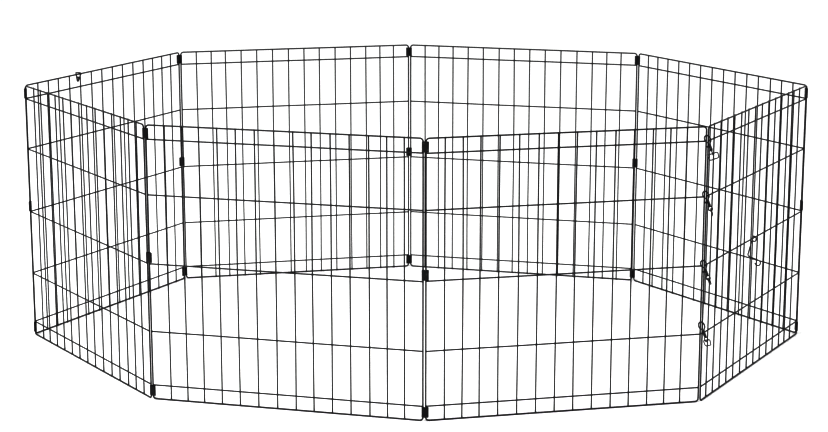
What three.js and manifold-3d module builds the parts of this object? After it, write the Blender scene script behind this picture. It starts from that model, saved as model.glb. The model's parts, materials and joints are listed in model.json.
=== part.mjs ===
// Pet playpen: eight welded wire panels hinged edge to edge by loose strip clips into a closed ring.
// Four swivel bolt snaps with strap rings close the pen at one corner. A wire hook hangs on one panel and a
// spare clip on another.
// Units are millimetres, +Z is up, the floor is z = 0 and the origin is the middle of the ring.
import * as THREE from "three";
import { mergeVertices } from "three/addons/utils/BufferGeometryUtils.js";
import Module from "manifold-3d";

const wasm = await Module();
wasm.setup();

// ---- driving dimensions ----
const PANEL_SIZE = 610;        // outside height and width of a panel
const FRAME_WIRE = 3.2;        // diameter of the wire bent into each panel's frame
const FILL_WIRE = 2.6;         // diameter of the wires welded across the frame
const FRAME_BEND = 7;          // centreline radius of the frame's corners
const WELD_GAP = 0.3;          // room left between wires that belong to separate solids
const WELD_SINK = 0.1;         // how far crossing fill wires melt into each other
const OUTER_PITCH = 38;        // spacing of the upright wires next to the posts
const INNER_PITCH = 41.5;      // spacing of the upright wires over the middle
const OUTER_GAPS = 2;          // closer gaps on each side
const INNER_GAPS = 9;          // wider gaps in the middle
const CROSS_HEIGHTS = [32.6, 153.2, 305, 456.8, 577.4]; // centres of the cross wires
const UPRIGHT_INSET = 1;       // how far the upright wires stop inside the frame's top and bottom

const FIRST_HEADING = 59.4;    // direction of panel 1, in degrees from +X
const TURNS = [64.3, 41.3, 26.8, 47.6]; // turn from each panel to the next, repeated for the other half

const HINGE_PITCH = 6;         // distance between the two posts held by a clip
const FOLD_OFFSET = 3.45;      // how far to one side of the posts' middle the axis of a corner lies
const CLIP_THICKNESS = 0.9;    // strip steel
const CLIP_HEIGHT = 22;
const CLIP_BOTTOM = 8.6;       // lower edge of the lowest clip
const CLIP_MIDDLE = 307.6;       // lower edge of the middle clip

const SNAP_HEIGHTS = [582.4, 461.8, 310, 173]; // where each snap's hook crosses the posts
const SNAP_DROOP = 60;         // angle of a hanging snap below the horizontal, in degrees
const HOOK_WIRE = 2.6;
const HOOK_RADIUS = 8.6;       // of the hook's round, to the middle of its wire
const HOOK_DROP = 1.5;         // how far the hook's middle hangs below the posts' crossing
const WAIST = 11.1;            // from the hook's middle to the top of the barrel
const BARREL_RADIUS = 3.4;
const BARREL_LENGTH = 12.4;
const BOLT_RADIUS = 1.1;
const BOLT_OFFSET = 1.5;       // distance of the bolt from the middle of the barrel
const BOLT_TRAVEL = 3;
const BOLT_ENTRY = 2.4;        // how far the bolt stands out of the barrel, towards the hook's tip
const BOLT_TAIL = 0.6;         // how far the bolt runs on below its stud
const STUD_REACH = 9.2;        // how far the thumb stud stands out from the middle of the barrel
const STUD_DEPTH = 4.6;        // how far below the barrel's top the stud rests
const STUD_RADIUS = 1;
const BUTTON_RADIUS = 2;
const BUTTON_THICKNESS = 1.6;
const SWIVEL_RADIUS = 1.2;
const SWIVEL_HEAD = 1.9;
const SWIVEL_HEAD_HEIGHT = 1.2;
const SWIVEL_DEPTH = 3.4;      // how deep the swivel sits in the barrel
const EYE_WIRE = 2.4;
const EYE_WIDTH = 10.4;
const EYE_HEIGHT = 11.4;
const EYE_TURNS = [-44, 50, 38, 10]; // how far each eye has swivelled on its snap, in degrees
const RING_WIRE = 2.2;
const RING_WIDTH = 25;
const RING_HEIGHT = 14.5;
const RING_GAP = 0.4;          // room between a strap ring and the eye that it hangs in
const SLIDE_GAP = 0.3;

const WIRE_HOOK_PLACE = 0.49;  // position of the wire hook along panel 1, as a share of its width
const WIRE_HOOK_WIRE = 2.5;
const WIRE_HOOK_GAP = 0.6;     // room between the hook's loop and the wire that it hangs on
const SPARE_CLIP_PLACE = 0.676; // position of the spare clip along panel 5, as a share of its width
const SPARE_CLIP_WIRE = 3;

// ---- derived dimensions ----
const HALF = PANEL_SIZE / 2;
const FRAME_RADIUS = FRAME_WIRE / 2;
const FILL_RADIUS = FILL_WIRE / 2;
const POST_SPACING = PANEL_SIZE - FRAME_WIRE;   // between the centres of a panel's two posts
const UPRIGHT_DEPTH = FRAME_RADIUS + WELD_GAP + FILL_RADIUS;   // upright wires lie on the inner face
const CROSS_DEPTH = UPRIGHT_DEPTH - FILL_WIRE + WELD_SINK;     // cross wires lie behind the uprights
const CLIP_BORE = FRAME_RADIUS + SLIDE_GAP;
// the furthest apart that two posts move in their clip, with a little play
const CLIP_SLOT = 2 * Math.hypot(HINGE_PITCH / 2, FOLD_OFFSET) + 0.05;
const degrees = THREE.MathUtils.degToRad;

// ---- materials ----
const COAT = { color: 0x141416, roughness: 0.42, metalness: 0.35 };
const CLIP_COAT = { color: 0x111113, roughness: 0.5, metalness: 0.4 };
const SNAP_COAT = { color: 0x18181a, roughness: 0.36, metalness: 0.55 };

const mesh = (name, geometry, finish) => {
  const made = new THREE.Mesh(geometry, new THREE.MeshStandardMaterial(finish));
  made.name = name;
  return made;
};

// ---- solid helpers ----
function toSolid(geometry) {
  const bare = geometry.clone();
  bare.deleteAttribute("normal");
  bare.deleteAttribute("uv");
  const welded = mergeVertices(bare, 1e-4);
  return new wasm.Manifold(new wasm.Mesh({
    numProp: 3,
    vertProperties: new Float32Array(welded.attributes.position.array),
    triVerts: new Uint32Array(welded.index.array),
  }));
}

function fromSolid(solid) {
  const { vertProperties, triVerts } = solid.getMesh();
  const geometry = new THREE.BufferGeometry();
  geometry.setAttribute("position", new THREE.BufferAttribute(new Float32Array(vertProperties), 3));
  geometry.setIndex(new THREE.BufferAttribute(new Uint32Array(triVerts), 1));
  geometry.computeVertexNormals();
  return geometry;
}

const join = (geometries) => geometries.map(toSolid).reduce((whole, piece) => whole.add(piece));

// An eight-sided section of the given width across its flats, and the sizes its bevels need.
function octagonSizes(width) {
  const flat = width * Math.tan(Math.PI / 8);
  return { flat, chamfer: (width - flat) / 2 };
}

function roundedPath(path, points, radius) {
  const count = points.length;
  const toward = (from, to, distance) => from.clone().lerp(to, distance / from.distanceTo(to));
  points.forEach((corner, i) => {
    const before = points[(i + count - 1) % count];
    const after = points[(i + 1) % count];
    const inward = before.clone().sub(corner).normalize();
    const onward = after.clone().sub(corner).normalize();
    const half = inward.angleTo(onward) / 2;
    const cut = radius / Math.tan(half);
    const start = toward(corner, before, cut);
    const middle = inward.add(onward).setLength(radius / Math.sin(half)).add(corner);
    const from = Math.atan2(start.y - middle.y, start.x - middle.x);
    if (i === 0) path.moveTo(start.x, start.y);
    else path.lineTo(start.x, start.y);
    path.absarc(middle.x, middle.y, radius, from, from + Math.PI - 2 * half, false);
  });
  path.closePath();
  return path;
}

// Corner points moved outward, or inward when the distance is negative, with every side kept parallel.
function offsetCorners(points, distance) {
  const count = points.length;
  return points.map((corner, i) => {
    const inward = points[(i + count - 1) % count].clone().sub(corner).normalize();
    const onward = points[(i + 1) % count].clone().sub(corner).normalize();
    const half = inward.angleTo(onward) / 2;
    return inward.add(onward).setLength(-distance / Math.sin(half)).add(corner);
  });
}

// A closed ring of wire through the given corners, listed anticlockwise, lying in the XY plane.
function wireRing(points, bend, wire, segments) {
  const { flat, chamfer } = octagonSizes(wire);
  const shape = roundedPath(new THREE.Shape(), offsetCorners(points, flat / 2), bend + flat / 2);
  shape.holes.push(roundedPath(new THREE.Path(), offsetCorners(points, -flat / 2), bend - flat / 2));
  return new THREE.ExtrudeGeometry(shape, {
    depth: flat,
    curveSegments: segments,
    bevelSize: chamfer,
    bevelThickness: chamfer,
    bevelSegments: 1,
  }).translate(0, 0, -flat / 2);
}

// A length of wire along an open curve, closed at both ends.
function bentWire(points, wire, sides, steps) {
  const section = new THREE.Shape();
  section.absarc(0, 0, wire / 2, 0, Math.PI * 2);
  const curve = new THREE.CatmullRomCurve3(points, false, "centripetal");
  const ring = new THREE.Shape(section.getSpacedPoints(sides).slice(0, sides));
  return new THREE.ExtrudeGeometry(ring, { steps, extrudePath: curve, bevelEnabled: false });
}

const rod = (radius, length, sides) => new THREE.CylinderGeometry(radius, radius, length, sides);

// ---- panels: x runs along the panel from its first post, +y is the inside of the pen ----
function frameGeometry() {
  const reach = POST_SPACING;
  const corners = [[0, 0], [reach, 0], [reach, reach], [0, reach]].map((c) => new THREE.Vector2(...c));
  return wireRing(corners, FRAME_BEND, FRAME_WIRE, 1)
    .rotateX(Math.PI / 2)
    .translate(0, 0, FRAME_RADIUS);
}

function uprightPlaces() {
  const middle = POST_SPACING / 2;
  const innerHalf = (INNER_GAPS * INNER_PITCH) / 2;
  const places = [];
  for (let i = OUTER_GAPS; i > 0; i -= 1) places.push(middle - innerHalf - i * OUTER_PITCH);
  for (let i = 0; i <= INNER_GAPS; i += 1) places.push(middle - innerHalf + i * INNER_PITCH);
  for (let i = 1; i <= OUTER_GAPS; i += 1) places.push(middle + innerHalf + i * OUTER_PITCH);
  return places;
}

function gridGeometry() {
  const crossLength = POST_SPACING - FRAME_WIRE - 2 * WELD_GAP;
  const uprightLength = PANEL_SIZE - 2 * UPRIGHT_INSET;
  const uprights = uprightPlaces().map((x) =>
    new THREE.BoxGeometry(FILL_WIRE, FILL_WIRE, uprightLength).translate(x, UPRIGHT_DEPTH, HALF));
  const crosses = CROSS_HEIGHTS.map((z) =>
    new THREE.BoxGeometry(crossLength, FILL_WIRE, FILL_WIRE).translate(POST_SPACING / 2, CROSS_DEPTH, z));
  return fromSolid(join([...uprights, ...crosses]));
}

// ---- hinge clip: a strip bent loosely round two posts, x runs from the post it turns on to the other ----
function stadium(path, radius) {
  path.absarc(CLIP_SLOT, 0, radius, -Math.PI / 2, Math.PI / 2, false);
  path.absarc(0, 0, radius, Math.PI / 2, Math.PI * 1.5, false);
  path.closePath();
  return path;
}

function clipGeometry() {
  const strip = stadium(new THREE.Shape(), CLIP_BORE + CLIP_THICKNESS);
  strip.holes.push(stadium(new THREE.Path(), CLIP_BORE));
  return new THREE.ExtrudeGeometry(strip, { depth: CLIP_HEIGHT, curveSegments: 3, bevelEnabled: false });
}

// ---- bolt snap: -y runs down its length from where the posts pass, x is across, z is its thickness ----
const BARREL_TOP = -HOOK_DROP - WAIST;
const BARREL_END = BARREL_TOP - BARREL_LENGTH;
const BOLT_TOP = BARREL_TOP + BOLT_ENTRY;
const STUD_PLACE = BARREL_TOP - STUD_DEPTH;
const BOLT_BORE = BOLT_RADIUS + SLIDE_GAP;
const NECK_DEPTH = 1.2;        // from the barrel's end up to the seat of the swivel's head
const EYE_TOP = BARREL_END - SLIDE_GAP - 2.4;                  // middle of the wire at the eye's top
const EYE_LOW = EYE_TOP - EYE_HEIGHT + EYE_WIRE;
const RING_TOP = EYE_LOW + EYE_WIRE / 2 + RING_GAP + RING_WIRE / 2;

const flatPoint = ([x, y]) => new THREE.Vector2(x, y);
const spacePoint = ([x, y]) => new THREE.Vector3(x, y, 0);
const onHook = (angle) =>
  [HOOK_RADIUS * Math.cos(degrees(angle)), HOOK_RADIUS * Math.sin(degrees(angle)) - HOOK_DROP];

// The hook's wire, from inside the barrel, round over the posts and back to the tip that the bolt meets.
function hookCurve() {
  const root = [[1, -1.6], [3.2, 2.2]].map(([x, rise]) => [x, BARREL_TOP + rise]);
  const round = Array.from({ length: 12 }, (_, i) => onHook(-42 + 24 * i));
  const tip = [-BOLT_OFFSET - 1.4, BOLT_TOP + 1.6];
  return [...root, ...round, tip].map(spacePoint);
}

function snapHookGeometry() {
  const neck = SWIVEL_RADIUS + SLIDE_GAP;
  const head = SWIVEL_HEAD + SLIDE_GAP;
  const profile = [
    [0, BARREL_END + SWIVEL_DEPTH],
    [head, BARREL_END + SWIVEL_DEPTH],
    [head, BARREL_END + NECK_DEPTH],
    [neck, BARREL_END + NECK_DEPTH],
    [neck, BARREL_END],
    [BARREL_RADIUS, BARREL_END],
    [BARREL_RADIUS, BARREL_TOP],
    [0, BARREL_TOP],
  ].map(flatPoint);
  const barrel = new THREE.LatheGeometry(profile, 12);
  const overrun = 1;
  const boreEnd = STUD_PLACE - BOLT_TRAVEL - BOLT_TAIL - overrun;
  const boreLength = BARREL_TOP + overrun - boreEnd;
  const bore = rod(BOLT_BORE, boreLength, 8).translate(-BOLT_OFFSET, boreEnd + boreLength / 2, 0);
  const slot = new THREE.BoxGeometry(BARREL_RADIUS, BOLT_TRAVEL + 2 * BOLT_BORE, 2 * BOLT_BORE)
    .translate(-BOLT_OFFSET - BARREL_RADIUS / 2, STUD_PLACE - BOLT_TRAVEL / 2, 0);
  return fromSolid(join([barrel, bentWire(hookCurve(), HOOK_WIRE, 6, 26)])
    .subtract(toSolid(bore))
    .subtract(toSolid(slot)));
}

function snapBoltGeometry() {
  const length = BOLT_TOP - STUD_PLACE + STUD_RADIUS + BOLT_TAIL;
  const reach = STUD_REACH - BOLT_OFFSET;
  const across = (piece) => piece.rotateZ(Math.PI / 2);
  const bolt = rod(BOLT_RADIUS, length, 8).translate(-BOLT_OFFSET, BOLT_TOP - length / 2, 0);
  const stud = across(rod(STUD_RADIUS, reach, 8)).translate(-BOLT_OFFSET - reach / 2, STUD_PLACE, 0);
  const button = across(rod(BUTTON_RADIUS, BUTTON_THICKNESS, 8)).translate(-STUD_REACH, STUD_PLACE, 0);
  return fromSolid(join([bolt, stud, button]));
}

// A swivel that ends in a small eye, whose hole runs along x.
function snapEyeGeometry() {
  const top = BARREL_END - SLIDE_GAP;
  const stemTop = BARREL_END + SWIVEL_DEPTH - SLIDE_GAP;
  const collar = { radius: 3, height: 1.6 };
  const profile = [
    [0, EYE_TOP - 0.4],
    [collar.radius * 0.7, EYE_TOP - 0.4],
    [collar.radius, top - collar.height],
    [collar.radius, top],
    [SWIVEL_RADIUS, top],
    [SWIVEL_RADIUS, stemTop - SWIVEL_HEAD_HEIGHT],
    [SWIVEL_HEAD, stemTop - SWIVEL_HEAD_HEIGHT],
    [SWIVEL_HEAD, stemTop],
    [0, stemTop],
  ].map(flatPoint);
  const stem = new THREE.LatheGeometry(profile, 8);
  const across = (EYE_WIDTH - EYE_WIRE) / 2;
  const bend = 3;
  const corners = [[-across, EYE_LOW], [across, EYE_LOW], [across, EYE_TOP], [-across, EYE_TOP]];
  const eye = wireRing(corners.map(flatPoint), bend, EYE_WIRE, 1).rotateY(Math.PI / 2);
  return fromSolid(join([stem, eye]));
}

// A strap ring, whose top side passes through the eye.
function snapRingGeometry() {
  const low = RING_TOP - RING_HEIGHT + RING_WIRE;
  const across = (RING_WIDTH - RING_WIRE) / 2;
  const taper = 1.5;
  const bend = 3;
  const corners = [[-across + taper, low], [across - taper, low], [across, RING_TOP], [-across, RING_TOP]];
  return wireRing(corners.map(flatPoint), bend, RING_WIRE, 1);
}

// ---- wire hook: x points out of the pen, y is up, from the middle of the wire that it hangs on ----
function wireHookGeometry() {
  const reach = (WIRE_HOOK_WIRE + FILL_WIRE) / 2 + WIRE_HOOK_GAP;
  const loopWidth = 4.5;
  const loopHeight = 6.2;
  const middle = reach - loopHeight;
  const loopStart = -125;
  const loopStep = 33;
  const around = (angle) =>
    [loopWidth * Math.sin(degrees(angle)), middle + loopHeight * Math.cos(degrees(angle))];
  const loop = Array.from({ length: 11 }, (_, i) => around(loopStart + loopStep * i));
  const shank = [[-6, middle - loopHeight * 0.82], [-7.6, -16], [-12, -34], [-13.6, -42], [-10, -45.6]];
  const arm = [[0, -48.6], [11.4, -51.6]];
  const curl = [[16, -54.4], [16.4, -59.6], [12.6, -64], [7.6, -63.2], [3.4, -59.6]];
  const wire = (points, steps) => bentWire(points.map(spacePoint), WIRE_HOOK_WIRE, 6, steps);
  const run = wire([...loop, ...shank, ...arm, ...curl], 40);
  // a short wire melts the loop's start into the shank
  const weld = wire([-155, loopStart, -100].map(around), 4);
  return fromSolid(join([run, weld]));
}

// ---- spare clip: x points out of the pen, y is up, from the middle of the rail that it hangs on ----
function spareClipGeometry() {
  const top = FRAME_RADIUS + SLIDE_GAP + SPARE_CLIP_WIRE / 2;
  const bend = 1.9;
  const thickness = 2.2;
  const ring = wireRing([[3.6, -22], [8.2, top], [-8.6, top]].map(flatPoint), bend, SPARE_CLIP_WIRE, 1);
  const plate = new THREE.Shape([[4.2, -20.6], [6.8, -6.4], [-4.2, -6.4]].map(flatPoint));
  const hole = new THREE.Path();
  hole.absarc(3, -11, 1.3, 0, Math.PI * 2, true);
  plate.holes.push(hole);
  const settings = { depth: thickness, curveSegments: 2, bevelEnabled: false };
  const crimp = new THREE.ExtrudeGeometry(plate, settings).translate(0, 0, -thickness / 2);
  return fromSolid(join([ring, crimp]));
}

// ---- layout of the ring ----
const turns = [...TURNS, ...TURNS];
const sum = (numbers) => numbers.reduce((total, number) => total + number, 0);
const headings = turns.map((_, i) => FIRST_HEADING + sum(turns.slice(0, i)));
const along = (heading, distance) =>
  new THREE.Vector3(Math.cos(degrees(heading)), Math.sin(degrees(heading)), 0).multiplyScalar(distance);

// The heading across hinge i, which joins panel i to the next one round the ring.
const hingeHeading = (i) => headings[i] + turns[i] / 2;

function panelStarts() {
  const starts = [];
  const at = new THREE.Vector3();
  headings.forEach((heading, i) => {
    starts.push(at.clone());
    at.add(along(heading, POST_SPACING)).add(along(hingeHeading(i), HINGE_PITCH));
  });
  // the second half of the ring mirrors the first, so opposite posts give its middle
  const middle = starts[0].clone().add(starts[4]).multiplyScalar(0.5);
  return starts.map((start) => start.sub(middle));
}

const starts = panelStarts();
const playpen = new THREE.Group();

const frame = frameGeometry();
const grid = gridGeometry();
const clip = clipGeometry();
const clipTop = PANEL_SIZE - CLIP_BOTTOM - CLIP_HEIGHT;
const clipBottoms = { top: clipTop, middle: CLIP_MIDDLE, bottom: CLIP_BOTTOM };

const panels = headings.map((heading, i) => {
  const panel = new THREE.Group();
  panel.position.copy(starts[i]);
  panel.rotation.z = degrees(heading);
  panel.add(mesh(`panel_${i + 1}_frame`, frame, COAT));
  panel.add(mesh(`panel_${i + 1}_grid`, grid, COAT));
  playpen.add(panel);
  return panel;
});

// Seven corners are hinged. The eighth, between panels 8 and 1, is closed by the snaps.
for (let i = 0; i < headings.length - 1; i += 1) {
  const hinge = new THREE.Group();
  hinge.position.copy(starts[i]).add(along(headings[i], POST_SPACING));
  hinge.rotation.z = degrees(hingeHeading(i));
  for (const [place, bottom] of Object.entries(clipBottoms)) {
    const strip = mesh(`hinge_${i + 1}_clip_${place}`, clip, CLIP_COAT);
    strip.position.z = bottom;
    hinge.add(strip);
  }
  playpen.add(hinge);
}

const snapHook = snapHookGeometry();
const snapBolt = snapBoltGeometry();
const snapEye = snapEyeGeometry();
const snapRing = snapRingGeometry();
const closingHeading = hingeHeading(headings.length - 1);
SNAP_HEIGHTS.forEach((height, i) => {
  const place = new THREE.Group();
  place.position.copy(starts[0]).add(along(closingHeading, -HINGE_PITCH / 2)).setZ(height);
  place.rotation.z = degrees(closingHeading);
  const snap = new THREE.Group();
  snap.rotation.x = degrees(SNAP_DROOP);
  snap.add(mesh(`snap_${i + 1}_hook`, snapHook, SNAP_COAT));
  snap.add(mesh(`snap_${i + 1}_bolt`, snapBolt, SNAP_COAT));
  const swivel = new THREE.Group();
  swivel.rotation.y = degrees(EYE_TURNS[i]);
  swivel.add(mesh(`snap_${i + 1}_eye`, snapEye, SNAP_COAT));
  swivel.add(mesh(`snap_${i + 1}_ring`, snapRing, SNAP_COAT));
  snap.add(swivel);
  place.add(snap);
  playpen.add(place);
});

// Both loose pieces hang in the plane across their panel's wires.
function hang(piece, panel, share, depth, height) {
  const holder = new THREE.Group();
  holder.position.set(POST_SPACING * share, depth, height);
  holder.rotation.set(Math.PI / 2, 0, -Math.PI / 2, "ZYX");
  holder.add(piece);
  panel.add(holder);
}

const wireHook = mesh("wire_hook", wireHookGeometry(), COAT);
const spareClip = mesh("spare_clip", spareClipGeometry(), SNAP_COAT);
hang(wireHook, panels[0], WIRE_HOOK_PLACE, CROSS_DEPTH, CROSS_HEIGHTS[2]);
hang(spareClip, panels[4], SPARE_CLIP_PLACE, 0, PANEL_SIZE - FRAME_RADIUS);

export default playpen;
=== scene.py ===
import json
import math
import random

import bpy
from mathutils import Matrix, Vector
from mathutils.noise import noise


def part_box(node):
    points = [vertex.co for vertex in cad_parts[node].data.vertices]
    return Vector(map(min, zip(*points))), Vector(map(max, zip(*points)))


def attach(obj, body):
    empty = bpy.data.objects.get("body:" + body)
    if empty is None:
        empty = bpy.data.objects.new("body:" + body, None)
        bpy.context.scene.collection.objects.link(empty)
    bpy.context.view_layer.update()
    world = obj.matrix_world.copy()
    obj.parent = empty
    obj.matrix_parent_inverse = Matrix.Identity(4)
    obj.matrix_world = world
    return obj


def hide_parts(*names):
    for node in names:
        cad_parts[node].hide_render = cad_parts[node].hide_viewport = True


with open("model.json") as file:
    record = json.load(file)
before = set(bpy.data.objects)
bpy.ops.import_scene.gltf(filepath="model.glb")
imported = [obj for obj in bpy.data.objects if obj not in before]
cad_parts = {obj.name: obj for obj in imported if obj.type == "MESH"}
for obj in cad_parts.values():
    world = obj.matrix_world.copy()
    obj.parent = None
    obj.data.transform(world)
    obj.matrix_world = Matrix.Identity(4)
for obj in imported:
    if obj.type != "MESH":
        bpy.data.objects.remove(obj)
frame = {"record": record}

MM = 0.001
UP = Vector((0, 0, 1))
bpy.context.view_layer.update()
JOINTS = {joint["name"]: joint for joint in frame["record"]["behaviour"]["joints"]}
PANEL_SEED = 100
CLIP_SEED = 200
PANELS = range(1, 9)
HINGES = range(1, 8)
SNAPS = range(1, 5)

# ---- sizes, as the CAD part has them except for slightly thicker fill wires ----
PANEL_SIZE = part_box("panel_1_frame")[1].z
FRAME_RADIUS = 1.6 * MM
UPRIGHT_RADIUS = 1.4 * MM
CROSS_RADIUS = 1.5 * MM
FRAME_BEND = 7 * MM
POST_SPACING = PANEL_SIZE - 2 * FRAME_RADIUS
WELD_GAP = 0.3 * MM  # from the frame to the uprights, filled by weld nuggets
WELD_BITE = 0.1 * MM  # how far the fill wires sink into each other
UPRIGHT_DEPTH = FRAME_RADIUS + WELD_GAP + UPRIGHT_RADIUS
CROSS_DEPTH = UPRIGHT_DEPTH - UPRIGHT_RADIUS - CROSS_RADIUS + WELD_BITE
UPRIGHT_INSET = 1 * MM
OUTER_PITCH = 38 * MM
INNER_PITCH = 41.5 * MM
OUTER_GAPS = 2
INNER_GAPS = 9
LOW_CROSS = 32.6 * MM
QUARTER_CROSS = 153.2 * MM
CLIP_THICKNESS = 0.9 * MM
SLIDE_GAP = 0.3 * MM

# ---- how far real pieces stray from true ----
FRAME_WANDER = 0.25 * MM
GRID_WANDER = 0.4 * MM
WANDER_RIPPLES = 5  # per metre
WANDER_LAYERS = ((0, 1), (31.7, 0.6), (67.3, 1))  # the noise's layer and share for x, y and z
UPRIGHT_SPREAD = 0.5 * MM
CROSS_SPREAD = 0.3 * MM
UPRIGHT_BOW = 0.45 * MM
CLIP_SLACK = 0.4 * SLIDE_GAP

# ---- welds: half sizes of the nuggets, and where a frame's ends are joined ----
RAIL_NUGGET = Vector((1.5, 0.85, 1.35)) * MM
CROSS_NUGGET = Vector((1.25, 0.8, 1.25)) * MM
POST_NUGGET = Vector((1.3, 1.35, 1.5)) * MM
POST_NUGGET_SHIFT = 0.7 * MM
BUTT_WELD_SHARE = 0.37

# ---- how finely the pieces are drawn ----
WIRE_SIDES = 12
FRAME_STEP = 26 * MM
FILL_STEP = 40 * MM
ARC_STEPS = 8
CLIP_STEP = 1.5 * MM
CLIP_BEND_STEPS = 16
CAST_VOXEL = 0.3 * MM
SHARP_EDGE = math.radians(38)


# ---- camera: found by fitting the pen's corners to the photograph ----
CAMERA_PLACE = Vector((-0.0545, -4.868, 1.4139))
CAMERA_PITCH = math.radians(12.966)
CAMERA_YAW = math.radians(-0.583)
CAMERA_LENS = 90.86
SENSOR_WIDTH = 36
FARTHEST_SEEN = 100


def make_camera():
    """Stands in front of the pen, a little above it, and looks down at it without any shift."""
    data = bpy.data.cameras.new("camera")
    data.lens = CAMERA_LENS
    data.sensor_width = SENSOR_WIDTH
    data.clip_end = FARTHEST_SEEN
    camera = bpy.data.objects.new("camera", data)
    camera.location = CAMERA_PLACE
    camera.rotation_euler = (math.pi / 2 - CAMERA_PITCH, 0, CAMERA_YAW)
    bpy.context.collection.objects.link(camera)
    bpy.context.scene.camera = camera


# ---- materials ----
class Nodes:
    """A material's node tree, with short ways to add and join its nodes."""

    def __init__(self, name):
        self.material = bpy.data.materials.new(name)
        self.material.use_nodes = True
        self.tree = self.material.node_tree
        self.shader = self.tree.nodes["Principled BSDF"]
        self.place = self.add("ShaderNodeTexCoord").outputs["Object"]

    def add(self, kind, **settings):
        """A new node with its settings."""
        node = self.tree.nodes.new(kind)
        for key, value in settings.items():
            setattr(node, key, value)
        return node

    def join(self, source, target):
        self.tree.links.new(source, target)

    def noise(self, scale, detail=3.0, roughness=0.5):
        """Noise over the object's own coordinates, scale in features per metre."""
        node = self.add("ShaderNodeTexNoise")
        node.inputs["Scale"].default_value = scale
        node.inputs["Detail"].default_value = detail
        node.inputs["Roughness"].default_value = roughness
        self.join(self.place, node.inputs["Vector"])
        return node.outputs["Fac"]

    def spread(self, value, low, high, to_low, to_high):
        """Maps value from low..high to to_low..to_high, and holds it there outside."""
        node = self.add("ShaderNodeMapRange")
        self.join(value, node.inputs["Value"])
        limits = {"From Min": low, "From Max": high, "To Min": to_low, "To Max": to_high}
        for key, number in limits.items():
            node.inputs[key].default_value = number
        return node.outputs["Result"]

    def blend(self, share, first, second):
        """Mixes two colours, each given as a colour or as a socket."""
        node = self.add("ShaderNodeMix", data_type="RGBA")
        self.join(share, node.inputs["Factor"])
        for key, colour in (("A", first), ("B", second)):
            socket = next(s for s in node.inputs if s.name == key and s.type == "RGBA")
            if isinstance(colour, bpy.types.NodeSocket):
                self.join(colour, socket)
            else:
                socket.default_value = (*colour, 1)
        return next(s for s in node.outputs if s.type == "RGBA")

    def bump(self, height, distance, strength, under=None):
        """A bumped normal, on top of another one if that is given."""
        node = self.add("ShaderNodeBump")
        node.inputs["Distance"].default_value = distance
        node.inputs["Strength"].default_value = strength
        self.join(height, node.inputs["Height"])
        if under:
            self.join(under, node.inputs["Normal"])
        return node.outputs["Normal"]


CLOUDS, PATCHES, PINHOLES = 9, 120, 2600  # features per metre
COAT_THICKNESS = 0.05 * MM


def coating(name, coat, rubbed, metal, gloss, peel, wear):
    """A black baked coating with faint cloudiness, rubbed patches, pinholes and an orange-peel skin.

    coat, rubbed and metal are its colours: sound, worn, and bare where it is chipped. gloss is its
    (smoothest, roughest) roughness, peel the size of its ripples and wear the share that is rubbed.
    """
    nodes = Nodes(name)
    cloud = nodes.noise(CLOUDS, detail=4)
    patches = nodes.noise(PATCHES, detail=5, roughness=0.62)
    specks = nodes.noise(PINHOLES, detail=2)
    rub = nodes.spread(patches, 0.66 - wear, 0.74 - wear / 2, 0, 1)
    chips = nodes.spread(specks, 0.76, 0.8, 0, 1)
    colour = nodes.blend(nodes.spread(cloud, 0.35, 0.65, 0, 1), coat, [part * 1.5 for part in coat])
    colour = nodes.blend(rub, colour, rubbed)
    colour = nodes.blend(chips, colour, metal)
    nodes.join(colour, nodes.shader.inputs["Base Color"])
    smooth, rough = gloss
    nodes.join(nodes.spread(patches, 0.3, 0.7, rough, smooth), nodes.shader.inputs["Roughness"])
    skin = nodes.bump(nodes.noise(1 / peel, detail=2), peel * 0.06, 0.5)
    nodes.join(nodes.bump(chips, COAT_THICKNESS, -0.4, under=skin), nodes.shader.inputs["Normal"])
    return nodes.material


def make_materials():
    """One finish for each of the part's material slots: black coatings of different wear and gloss."""
    black = (0.052, 0.052, 0.055)
    steel = (0.3, 0.295, 0.29)
    return {
        "frame_wire": coating(
            "frame_coat", coat=black, rubbed=(0.11, 0.11, 0.113), metal=steel,
            gloss=(0.27, 0.42), peel=1.1 * MM, wear=0.02,
        ),
        "fill_wire": coating(
            "fill_coat", coat=black, rubbed=(0.1, 0.1, 0.104), metal=steel,
            gloss=(0.3, 0.46), peel=0.9 * MM, wear=0.02,
        ),
        "clip_strip": coating(
            "clip_coat", coat=(0.042, 0.042, 0.044), rubbed=(0.14, 0.138, 0.134), metal=steel,
            gloss=(0.32, 0.54), peel=0.7 * MM, wear=0.06,
        ),
        "snap_metal": coating(
            "snap_coat", coat=(0.058, 0.058, 0.062), rubbed=(0.17, 0.166, 0.16), metal=steel,
            gloss=(0.22, 0.42), peel=0.8 * MM, wear=0.07,
        ),
        "bent_wire": coating(
            "hook_coat", coat=black, rubbed=(0.12, 0.12, 0.12), metal=steel,
            gloss=(0.28, 0.45), peel=0.9 * MM, wear=0.05,
        ),
    }


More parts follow.
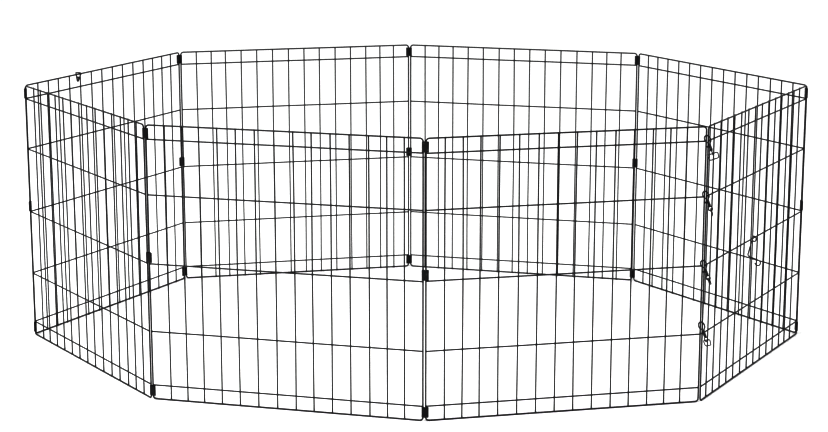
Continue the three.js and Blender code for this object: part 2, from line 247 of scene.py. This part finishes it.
# ---- mesh building ----
class Shape:
    """Points and faces gathered for one mesh."""

    def __init__(self):
        self.points = []
        self.faces = []

    def grid(self, rings, closed=False, caps=True):
        """Skins a row of rings of points, and closes both ends or joins the last ring to the first."""
        first = len(self.points)
        sides = len(rings[0])
        for ring in rings:
            self.points.extend(ring)
        spans = len(rings) if closed else len(rings) - 1
        for row in range(spans):
            here = first + row * sides
            there = first + (row + 1) % len(rings) * sides
            for side in range(sides):
                after = (side + 1) % sides
                self.faces.append((here + side, here + after, there + after, there + side))
        if caps and not closed:
            self.faces.append(tuple(first + side for side in reversed(range(sides))))
            self.faces.append(tuple(first + spans * sides + side for side in range(sides)))

    def wire(self, path, radius, closed=False, sides=WIRE_SIDES):
        """A round wire along a path, with rounded ends. radius is one number, or one for each point."""
        radii = list(radius) if isinstance(radius, (list, tuple)) else [radius] * len(path)
        if not closed:
            path, radii = with_round_ends(path, radii)
        self.grid([
            [middle + (across * math.cos(turn) + over * math.sin(turn)) * size for turn in angles(sides)]
            for middle, size, across, over in zip(path, radii, *sections(path, closed))
        ], closed)

    def lathe(self, profile, sides=28):
        """Turns a profile of (radius, height) about the z axis, closed at both ends by flat faces."""
        self.grid([
            [Vector((radius * math.cos(turn), radius * math.sin(turn), height)) for turn in angles(sides)]
            for radius, height in profile
        ])

    def bead(self, middle, half, sides=8, rows=5):
        """A squashed ball, for a weld nugget, with half sizes along x, y and z."""
        rings = []
        for row in range(rows):
            tilt = math.pi * (row + 0.5) / rows
            wide, deep, low = half.x * math.sin(tilt), half.y * math.sin(tilt), half.z * math.cos(tilt)
            rings.append([
                middle + Vector((wide * math.cos(turn), deep * math.sin(turn), -low))
                for turn in angles(sides)
            ])
        self.grid(rings)

    def moved(self, matrix):
        """The same shape in another place."""
        other = Shape()
        other.points = [matrix @ point for point in self.points]
        other.faces = list(self.faces)
        return other

    def add(self, other):
        """Takes in another shape."""
        first = len(self.points)
        self.points.extend(other.points)
        self.faces.extend(tuple(first + corner for corner in face) for face in other.faces)

    def made(self, name):
        """The finished object, smooth except at its sharp edges."""
        mesh = bpy.data.meshes.new(name)
        mesh.from_pydata([tuple(point) for point in self.points], [], self.faces)
        mesh.validate()
        mesh.shade_smooth()
        mesh.set_sharp_from_angle(angle=SHARP_EDGE)
        made = bpy.data.objects.new(name, mesh)
        bpy.context.collection.objects.link(made)
        return made


def angles(sides):
    """The angle of each corner of a regular outline."""
    return [2 * math.pi * side / sides for side in range(sides)]


def sections(path, closed):
    """Two directions across the path at each of its points, carried along it without twist."""
    count = len(path)
    across, over = [], []
    side = None
    for i, point in enumerate(path):
        before = path[i - 1] if i or closed else point
        after = path[(i + 1) % count] if i + 1 < count or closed else point
        ahead = (after - before).normalized()
        if side is None:
            side = ahead.orthogonal()
        side = (side - ahead * side.dot(ahead)).normalized()
        across.append(side)
        over.append(ahead.cross(side))
    return across, over


def with_round_ends(path, radii):
    """Adds two smaller rings beyond each end, so that a cut wire has a softened edge."""
    def end(point, inner, size):
        ahead = (point - inner).normalized()
        return [(point + ahead * size * 0.22, size * 0.86), (point + ahead * size * 0.32, size * 0.6)]
    tail = end(path[-1], path[-2], radii[-1])
    head = end(path[0], path[1], radii[0])[::-1]
    points = [point for point, _ in head] + list(path) + [point for point, _ in tail]
    sizes = [size for _, size in head] + radii + [size for _, size in tail]
    return points, sizes


def rounded_loop(corners, bend, step):
    """A closed flat path through corners with rounded bends, listed anticlockwise as (x, y) pairs."""
    path = []
    count = len(corners)
    points = [Vector((x, y, 0)) for x, y in corners]
    for i, corner in enumerate(points):
        inward = (points[i - 1] - corner).normalized()
        onward = (points[(i + 1) % count] - corner).normalized()
        half = inward.angle(onward) / 2
        middle = corner + (inward + onward).normalized() * (bend / math.sin(half))
        first = corner + inward * (bend / math.tan(half)) - middle
        if path:
            path.extend(between(path[-1], middle + first, step))
        swing = math.pi - 2 * half
        for k in range(ARC_STEPS + 1):
            path.append(middle + Matrix.Rotation(swing * k / ARC_STEPS, 3, "Z") @ first)
    path.extend(between(path[-1], path[0], step))
    return path


def between(start, end, step):
    """Evenly spaced points strictly between two points."""
    count = max(1, round((end - start).length / step))
    return [start.lerp(end, i / count) for i in range(1, count)]


def smooth_curve(points, steps):
    """A curve through the given (x, y) points, with a number of steps in each span."""
    ends = [Vector((x, y, 0)) for x, y in points]
    ends = [2 * ends[0] - ends[1], *ends, 2 * ends[-1] - ends[-2]]
    path = []
    for a, b, c, d in zip(ends, ends[1:], ends[2:], ends[3:]):
        for i in range(steps):
            t = i / steps
            path.append(0.5 * (2 * b + (c - a) * t + (2 * a - 5 * b + 4 * c - d) * t ** 2
                               + (3 * b - a - 3 * c + d) * t ** 3))
    return path + [ends[-2]]


def space(origin, x, y):
    """The matrix of a space with its origin and x and y directions."""
    z = x.cross(y)
    return Matrix((
        (x.x, y.x, z.x, origin.x),
        (x.y, y.y, z.y, origin.y),
        (x.z, y.z, z.z, origin.z),
        (0, 0, 0, 1),
    ))


def cut(made, cutter):
    """Cuts one object out of another and removes the cutter."""
    modifier = made.modifiers.new("cut", "BOOLEAN")
    modifier.operation = "DIFFERENCE"
    modifier.object = cutter
    apply_modifiers(made)
    bpy.data.objects.remove(cutter)


def cast(made, voxel=CAST_VOXEL):
    """Melts the shells of an object into one skin with small fillets, like a casting."""
    remesh = made.modifiers.new("remesh", "REMESH")
    remesh.mode = "VOXEL"
    remesh.voxel_size = voxel
    smooth = made.modifiers.new("smooth", "SMOOTH")
    smooth.factor = 0.5
    smooth.iterations = 4
    apply_modifiers(made)
    made.data.shade_smooth()


def apply_modifiers(made):
    """Gives an object the mesh that its modifiers make."""
    bpy.context.view_layer.update()
    finished = made.evaluated_get(bpy.context.evaluated_depsgraph_get())
    made.data = bpy.data.meshes.new_from_object(finished)
    made.modifiers.clear()


def place(made, matrix, body, slot, nodes):
    """Puts a piece in place on its body, standing for CAD nodes, with the finish of its slot."""
    made.data = made.data.copy()
    made.data.transform(matrix)
    made.data.materials.clear()
    made.data.materials.append(MATERIALS[slot])
    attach(made, body)
    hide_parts(*nodes)
    return made


# ---- panels ----
def panel_space(number):
    """A panel's own space: x runs from its first post to its second, y into the pen and z up."""
    low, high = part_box(f"panel_{number}_frame")
    middle = (low + high) / 2
    inward = Vector((-middle.x, -middle.y, 0))
    reach = (high - low) / 2 - Vector((FRAME_RADIUS, FRAME_RADIUS, 0))
    diagonals = [Vector((reach.x, sign * reach.y, 0)).normalized() for sign in (1, -1)]
    along = min(diagonals, key=lambda direction: abs(direction.dot(inward)))
    if along.cross(inward).z < 0:
        along = -along
    start = Vector((middle.x, middle.y, 0)) - along * POST_SPACING / 2
    return space(start, along, UP.cross(along))


def upright_places():
    """How far along the panel each upright stands: closer together beside the posts than in the middle."""
    middle = POST_SPACING / 2
    half = INNER_GAPS * INNER_PITCH / 2
    left = [middle - half - OUTER_PITCH * i for i in range(OUTER_GAPS, 0, -1)]
    inner = [middle - half + INNER_PITCH * i for i in range(INNER_GAPS + 1)]
    right = [middle + half + OUTER_PITCH * i for i in range(1, OUTER_GAPS + 1)]
    return left + inner + right


def cross_heights():
    """How high each cross wire lies, mirrored about the middle."""
    return [LOW_CROSS, QUARTER_CROSS, PANEL_SIZE / 2, PANEL_SIZE - QUARTER_CROSS, PANEL_SIZE - LOW_CROSS]


def waver(point, size, seed):
    """A small smooth wander of a wire that was straightened off a coil, the same wherever wires meet."""
    at = Vector((point.x, point.z, 0)) * WANDER_RIPPLES
    return Vector([
        size * noise(at + Vector((0, 0, seed + layer))) * share
        for layer, share in WANDER_LAYERS
    ])


def butt_weld(middle, radius):
    """The swollen ring where the two ends of a wire that runs along x are welded together."""
    swell = [(-1.2, 0.9), (-0.6, 1.05), (-0.28, 1.18), (0, 1.1), (0.28, 1.18), (0.6, 1.05), (1.2, 0.9)]
    path = [middle + Vector((along * radius, 0, 0)) for along, _ in swell]
    shape = Shape()
    shape.wire(path, [radius * size for _, size in swell])
    return shape


def panel_frame(number):
    """One wire bent square, with its ends butt welded in the lower rail."""
    reach = POST_SPACING
    loop = rounded_loop([(0, 0), (reach, 0), (reach, reach), (0, reach)], FRAME_BEND, FRAME_STEP)
    path = [Vector((point.x, 0, point.y + FRAME_RADIUS)) for point in loop]
    path = [point + waver(point, FRAME_WANDER, number) for point in path]
    shape = Shape()
    shape.wire(path, FRAME_RADIUS, closed=True)
    joint = Vector((reach * BUTT_WELD_SHARE, 0, FRAME_RADIUS))
    shape.add(butt_weld(joint + waver(joint, FRAME_WANDER, number), FRAME_RADIUS))
    return shape


def panel_grid(number, chance):
    """Upright and cross wires, welded to each other and to the frame where they lie over it."""
    shape = Shape()
    bottom, top = UPRIGHT_INSET, PANEL_SIZE - UPRIGHT_INSET
    rails = [FRAME_RADIUS, PANEL_SIZE - FRAME_RADIUS]
    places = [x + chance.gauss(0, UPRIGHT_SPREAD) for x in upright_places()]
    heights = [z + chance.gauss(0, CROSS_SPREAD) for z in cross_heights()]
    for x in places:
        bow = chance.gauss(0, UPRIGHT_BOW)
        ends = Vector((x, UPRIGHT_DEPTH, bottom)), Vector((x, UPRIGHT_DEPTH, top))
        path = [ends[0], *between(*ends, FILL_STEP), ends[1]]
        wire = []
        for point in path:
            share = (point.z - bottom) / (top - bottom)
            lean = Vector((bow * math.sin(math.pi * share), 0, 0))
            wire.append(point + lean + waver(point, GRID_WANDER, number))
        shape.wire(wire, UPRIGHT_RADIUS)
        for z in rails:
            contact = Vector((x, (FRAME_RADIUS + UPRIGHT_DEPTH - UPRIGHT_RADIUS) / 2, z))
            size = RAIL_NUGGET * chance.uniform(0.9, 1.15)
            shape.bead(contact + waver(contact, GRID_WANDER, number), size)
        for z in heights:
            share = (z - bottom) / (top - bottom)
            contact = Vector((x + bow * math.sin(math.pi * share), (UPRIGHT_DEPTH + CROSS_DEPTH) / 2, z))
            size = CROSS_NUGGET * chance.uniform(0.85, 1.15)
            shape.bead(contact + waver(contact, GRID_WANDER, number), size)
    for z in heights:
        overlap = FRAME_RADIUS * 0.7
        ends = Vector((overlap, CROSS_DEPTH, z)), Vector((POST_SPACING - overlap, CROSS_DEPTH, z))
        path = [ends[0], *between(*ends, FILL_STEP), ends[1]]
        shape.wire([point + waver(point, GRID_WANDER, number) for point in path], CROSS_RADIUS)
        for end, side in zip(ends, (1, -1)):
            contact = end + Vector((side * POST_NUGGET_SHIFT, 0, 0))
            shape.bead(contact, POST_NUGGET * chance.uniform(0.9, 1.1))
    return shape


def make_panels():
    """Every panel: its frame and its grid, each panel a little different from the next."""
    for number in PANELS:
        chance = random.Random(PANEL_SEED + number)
        matrix = panel_space(number)
        body = f"panel_{number}"
        frame_piece = panel_frame(number).made(f"frame_{number}")
        place(frame_piece, matrix, body, "frame_wire", [f"panel_{number}_frame"])
        grid_piece = panel_grid(number, chance).made(f"grid_{number}")
        place(grid_piece, matrix, body, "fill_wire", [f"panel_{number}_grid"])


# ---- hinge clips ----
CLIP_SEAM = 1 * MM
CLIP_SEAM_SHARE = 0.45
CLIP_SOFT_EDGE = 0.22 * MM
CLIP_FLARE = 0.012


def clip_strip(slot, height):
    """A strip bent round two posts, its ends nearly meeting on one long side. x runs from post to post."""
    radius = FRAME_RADIUS + SLIDE_GAP + CLIP_THICKNESS / 2
    seam = slot * CLIP_SEAM_SHARE
    start = Vector((seam + CLIP_SEAM / 2, radius, 0))
    end = Vector((seam - CLIP_SEAM / 2, radius, 0))
    bend = [math.pi * i / CLIP_BEND_STEPS for i in range(CLIP_BEND_STEPS + 1)]
    turn = [Vector((radius * math.sin(angle), radius * math.cos(angle), 0)) for angle in bend]
    path = [start, *between(start, Vector((slot, radius, 0)), CLIP_STEP)]
    path += [Vector((slot, 0, 0)) + point for point in turn]
    path += between(path[-1], Vector((0, -radius, 0)), CLIP_STEP)
    path += [-point for point in turn]
    path += [*between(path[-1], end, CLIP_STEP), end]
    half_width, half_height, soft = CLIP_THICKNESS / 2, height / 2, CLIP_SOFT_EDGE
    outline = []
    for across, up in ((1, 1), (-1, 1), (-1, -1), (1, -1)):
        flat = (across * (half_width - soft), up * half_height)
        edge = (across * half_width, up * (half_height - soft))
        mid = (across * (half_width - soft * 0.3), up * (half_height - soft * 0.3))
        outline.extend((edge, mid, flat) if across * up > 0 else (flat, mid, edge))
    shape = Shape()
    rings = []
    for i, point in enumerate(path):
        ahead = (path[min(i + 1, len(path) - 1)] - path[max(i - 1, 0)]).normalized()
        across = ahead.cross(UP)
        flare = 1 + CLIP_FLARE * math.sin(point.x / slot * math.pi)
        rings.append([point + across * out + UP * (half_height + up * flare) for out, up in outline])
    shape.grid(rings)
    return shape


def make_clips():
    """Three clips at each hinge, each tilted a little on its posts."""
    for number in HINGES:
        chance = random.Random(CLIP_SEED + number)
        pivot = Vector(JOINTS[f"clips_{number}_turn"]["pos_m"])
        for level in ("bottom", "middle", "top"):
            node = f"hinge_{number}_clip_{level}"
            low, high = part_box(node)
            reach = (low + high) / 2 - pivot
            reach.z = 0
            heading = reach.normalized()
            slot = 2 * reach.length
            height = high.z - low.z
            matrix = space(Vector((pivot.x, pivot.y, low.z)), heading, UP.cross(heading))
            tilt = chance.uniform(-1, 1) * CLIP_SLACK / (height / 2)
            middle = Matrix.Translation((0, 0, height / 2))
            matrix = matrix @ middle @ Matrix.Rotation(tilt, 4, "Y") @ middle.inverted()
            made = clip_strip(slot, height).made(f"clip_{number}_{level}")
            place(made, matrix, f"hinge_{number}", "clip_strip", [node])


# ---- bolt snaps: x runs across both posts, -y down the snap and z is its thickness ----
HOOK_WIRE = 1.3 * MM
HOOK_RADIUS = 8.6 * MM
HOOK_DROP = 1.5 * MM
BARREL_RADIUS = 3.4 * MM
BARREL_TOP = -HOOK_DROP - 11.1 * MM
BARREL_END = BARREL_TOP - 12.4 * MM
BOLT_RADIUS = 1.1 * MM
BOLT_OFFSET = 1.5 * MM
BOLT_TOP = BARREL_TOP + 2.4 * MM
BOLT_TRAVEL = 3 * MM
BOLT_TAIL = 0.6 * MM
STUD_RADIUS = 1 * MM
STUD_PLACE = BARREL_TOP - 4.6 * MM
STUD_REACH = 9.2 * MM
EYE_WIRE = 1.2 * MM
EYE_REACH = 4 * MM
EYE_TOP = BARREL_END - SLIDE_GAP - 2.4 * MM
EYE_LOW = EYE_TOP - 9 * MM
RING_WIRE = 1.1 * MM
RING_REACH = 11.4 * MM
RING_TOP = EYE_LOW + EYE_WIRE + 0.4 * MM + RING_WIRE
RING_LOW = RING_TOP - 12.3 * MM

ALONG_Y = Matrix.Rotation(-math.pi / 2, 4, "X")  # stands a turned shape's z axis along y
ACROSS_X = Matrix.Rotation(-math.pi / 2, 4, "Y")  # lays a turned shape's z axis against x


def soft_profile(steps, soft):
    """A turned profile of (radius, height) with its corners cut back, so that no edge is knife sharp."""
    profile = [steps[0]]
    for before, corner, after in zip(steps, steps[1:], steps[2:]):
        here = Vector(corner)
        for other in (before, after):
            away = Vector(other) - here
            profile.append(tuple(here + away.normalized() * min(soft, away.length * 0.4)))
    return profile + [steps[-1]]


def in_mm(pairs, height=0.0):
    """Pairs given in millimetres, as metres, with a height added to the second of each."""
    return [(first * MM, height + second * MM) for first, second in pairs]


def snap_body():
    """The cast hook and barrel, with a bore for the bolt and a slot for its stud."""
    root = in_mm([(1, -1.6), (3.2, 2.2)], BARREL_TOP)
    turns = [math.radians(-42 + 24 * i) for i in range(12)]
    ring = [(HOOK_RADIUS * math.cos(turn), HOOK_RADIUS * math.sin(turn) - HOOK_DROP) for turn in turns]
    tip = (-BOLT_OFFSET - 1.4 * MM, BOLT_TOP + 1.6 * MM)
    path = smooth_curve([*root, *ring, tip], 4)
    shape = Shape()
    shape.wire(path, [HOOK_WIRE * (1.22 - 0.26 * i / len(path)) for i in range(len(path))])
    barrel = Shape()
    top_lip = in_mm([(2.9, 0), (3.4, -0.5), (3.4, -1.5), (3, -2.1)], BARREL_TOP)
    end_lip = in_mm([(3, 2.4), (3.4, 1.8), (3.4, 0.8), (2.9, 0)], BARREL_END)
    outline = [(0.1 * MM, BARREL_TOP), *top_lip, *end_lip, (0.1 * MM, BARREL_END)]
    barrel.lathe(soft_profile(outline[::-1], 0.25 * MM))
    shape.add(barrel.moved(ALONG_Y))
    made = shape.made("snap_body")
    cast(made)
    room = BOLT_RADIUS + SLIDE_GAP
    bore = Shape()
    bore_end = STUD_PLACE - BOLT_TRAVEL - BOLT_TAIL - 1 * MM
    bore.wire([Vector((-BOLT_OFFSET, y, 0)) for y in (bore_end, BARREL_TOP + 1 * MM)], room, sides=24)
    cut(made, bore.made("bore"))
    for share in (0, 0.25, 0.5, 0.75, 1):
        slot = Shape()
        end = Vector((-BOLT_OFFSET, STUD_PLACE - BOLT_TRAVEL * share, 0))
        slot.wire([end, end - Vector((BARREL_RADIUS, 0, 0))], room * 0.96, sides=24)
        cut(made, slot.made("slot"))
    made.data.shade_smooth()
    made.data.set_sharp_from_angle(angle=SHARP_EDGE)
    return made


def snap_bolt():
    """A round-nosed bolt with a thumb stud that ends in a dished button."""
    shape = Shape()
    bottom = STUD_PLACE - STUD_RADIUS - BOLT_TAIL
    nose = BOLT_TOP - 0.35 * MM
    shape.wire([Vector((-BOLT_OFFSET, y, 0)) for y in (bottom, STUD_PLACE, nose)], BOLT_RADIUS, sides=20)
    shape.wire([Vector((-x, STUD_PLACE, 0)) for x in (BOLT_OFFSET, STUD_REACH)], STUD_RADIUS, sides=20)
    button = Shape()
    outline = in_mm([(0.1, -0.8), (1.5, -0.8), (2, -0.4), (2, 0.5), (1.5, 0.8), (1.1, 0.6), (0.1, 0.5)])
    button.lathe(soft_profile(outline, 0.15 * MM))
    shape.add(button.moved(Matrix.Translation((-STUD_REACH, STUD_PLACE, 0)) @ ACROSS_X))
    return shape.made("snap_bolt")


def snap_eye():
    """A swivel under the barrel that ends in a small eye, whose hole runs along x."""
    top = BARREL_END - SLIDE_GAP
    outline = [(0.1 * MM, EYE_TOP - 0.4 * MM), (2.1 * MM, EYE_TOP - 0.4 * MM)]
    outline += in_mm([(3, -1.6), (3, -0.4), (2.6, 0), (1.2, 0), (1.2, 1.4), (0.1, 1.4)], top)
    stem = Shape()
    stem.lathe(soft_profile(outline, 0.3 * MM))
    shape = stem.moved(ALONG_Y)
    corners = [(-EYE_REACH, EYE_LOW), (EYE_REACH, EYE_LOW), (EYE_REACH, EYE_TOP), (-EYE_REACH, EYE_TOP)]
    eye = Shape()
    eye.wire(rounded_loop(corners, 3 * MM, 1 * MM), EYE_WIRE, closed=True)
    shape.add(eye.moved(ACROSS_X.inverted()))
    made = shape.made("snap_eye")
    cast(made)
    return made


def snap_ring():
    """A strap ring of bent wire, whose ends are butted in its lower side."""
    narrow = RING_REACH - 1.5 * MM
    corners = [(-narrow, RING_LOW), (narrow, RING_LOW), (RING_REACH, RING_TOP), (-RING_REACH, RING_TOP)]
    shape = Shape()
    shape.wire(rounded_loop(corners, 3 * MM, 1.5 * MM), RING_WIRE, closed=True, sides=16)
    shape.add(butt_weld(Vector((2 * MM, RING_LOW, 0)), RING_WIRE))
    return shape.made("snap_ring")


def make_snaps():
    """Four copies of the snap's pieces, each turned as its own swivel stands."""
    parts = {"hook": snap_body(), "bolt": snap_bolt(), "eye": snap_eye(), "ring": snap_ring()}
    for number in SNAPS:
        name = f"snap_{number}"
        origin = Vector(JOINTS[f"{name}_lift"]["pos_m"])
        upward = -Vector(JOINTS[f"{name}_bolt_slide"]["axis"])
        straight = space(origin, -Vector(JOINTS[f"{name}_lift"]["axis"]), upward)
        swivelled = space(origin, Vector(JOINTS[f"{name}_ring_swing"]["axis"]), upward)
        for kind, part in parts.items():
            made = part.copy()
            made.name = f"{name}_{kind}_piece"
            bpy.context.collection.objects.link(made)
            body = name if kind == "hook" else f"{name}_{kind}"
            where = swivelled if kind in ("eye", "ring") else straight
            place(made, where, body, "snap_metal", [f"{name}_{kind}"])
    for part in parts.values():
        bpy.data.objects.remove(part)


# ---- loose pieces: x points out of the pen and y is up, from the wire that each hangs on ----
def hanging_space(joint):
    """The space of a piece that swings on the axis of a joint."""
    axis = Vector(JOINTS[joint]["axis"])
    return space(Vector(JOINTS[joint]["pos_m"]), UP.cross(axis), UP)


def make_wire_hook():
    """A bent wire: a loop round the middle cross wire, a shank, a foot and a curled end."""
    radius = 1.25 * MM
    reach = radius + CROSS_RADIUS + 0.4 * MM
    width, height = 4.5 * MM, 6.2 * MM
    middle = reach - height
    loop = []
    for i in range(11):
        angle = math.radians(-125 + 33 * i)
        loop.append((width * math.sin(angle), middle + height * math.cos(angle)))
    shank = [(-6, -9.4), (-7.6, -16), (-12, -34), (-13.6, -42), (-10, -45.6)]
    foot = [(0, -48.6), (11.4, -51.6)]
    curl = [(16, -54.4), (16.4, -59.6), (12.6, -64), (7.6, -63.2), (3.4, -59.6)]
    path = smooth_curve(loop + in_mm(shank + foot + curl), 5)
    shape = Shape()
    shape.wire(path, radius, sides=16)
    made = shape.made("wire_hook_bent")
    place(made, hanging_space("wire_hook_swing"), "wire_hook", "bent_wire", ["wire_hook"])


def make_spare_clip():
    """A small three-cornered ring over the top rail, pinched to a holed tongue below it."""
    radius = 1.5 * MM
    top = FRAME_RADIUS + SLIDE_GAP + radius
    corners = [(3.6 * MM, -22 * MM), (8.2 * MM, top), (-8.6 * MM, top)]
    bend, step = 1.9 * MM, 2 * MM
    shape = Shape()
    shape.wire(rounded_loop(corners, bend, step), radius, closed=True)
    half = 1.1 * MM
    tongue = in_mm([(3, -18), (6.8, -6.4), (-4.2, -6.4)])
    shape.grid([[Vector((x, y, side * half)) for x, y in tongue] for side in (-1, 1)])
    made = shape.made("spare_clip_ring")
    cast(made)
    hole = Shape()
    middle = Vector((3 * MM, -11 * MM, 0))
    depth = Vector((0, 0, 3 * MM))
    hole_radius = 1.3 * MM
    hole.wire([middle - depth, middle + depth], hole_radius, sides=24)
    cut(made, hole.made("hole"))
    made.data.shade_smooth()
    made.data.set_sharp_from_angle(angle=SHARP_EDGE)
    place(made, hanging_space("spare_clip_swing"), "spare_clip", "snap_metal", ["spare_clip"])


# ---- stage ----
FLOOR_REACH = 30
LAMP_PLACE = Vector((-1.8, -2.6, 4.2))
LAMP_AIM = Vector((0, 0, 0.3))
LAMP_WIDTH, LAMP_DEPTH = 5, 3
LAMP_WATTS = 160
SURROUND_STRENGTH = 1.06
VIEW_GAMMA = 0.375


def make_floor():
    """A plain white floor, far larger than the pen."""
    corners = [(x * FLOOR_REACH, y * FLOOR_REACH, 0) for x, y in ((-1, -1), (1, -1), (1, 1), (-1, 1))]
    mesh = bpy.data.meshes.new("floor")
    mesh.from_pydata(corners, [], [(0, 1, 2, 3)])
    floor = bpy.data.objects.new("floor", mesh)
    bpy.context.collection.objects.link(floor)
    nodes = Nodes("floor_paint")
    nodes.join(nodes.spread(nodes.noise(1.5), 0.3, 0.7, 0.8, 0.86), nodes.shader.inputs["Roughness"])
    nodes.shader.inputs["Base Color"].default_value = (0.96, 0.96, 0.96, 1)
    nodes.shader.inputs["Specular IOR Level"].default_value = 0.1
    mesh.materials.append(nodes.material)


def make_light():
    """A bright even surround with one large soft light above and in front.

    The gamma darkens the edges of thin wires, which would otherwise look too light when a pixel wide."""
    scene = bpy.context.scene
    world = bpy.data.worlds.new("studio")
    world.use_nodes = True
    surround = world.node_tree.nodes["Background"]
    surround.inputs["Color"].default_value = (1, 1, 1, 1)
    surround.inputs["Strength"].default_value = SURROUND_STRENGTH
    scene.world = world
    data = bpy.data.lights.new("soft_box", "AREA")
    data.shape = "RECTANGLE"
    data.size = LAMP_WIDTH
    data.size_y = LAMP_DEPTH
    data.energy = LAMP_WATTS
    lamp = bpy.data.objects.new("soft_box", data)
    lamp.location = LAMP_PLACE
    lamp.rotation_euler = (LAMP_AIM - LAMP_PLACE).to_track_quat("-Z", "Y").to_euler()
    bpy.context.collection.objects.link(lamp)
    scene.view_settings.view_transform = "Standard"
    scene.view_settings.gamma = VIEW_GAMMA


make_camera()
MATERIALS = make_materials()
make_panels()
make_clips()
make_snaps()
make_wire_hook()
make_spare_clip()
make_floor()
make_light()
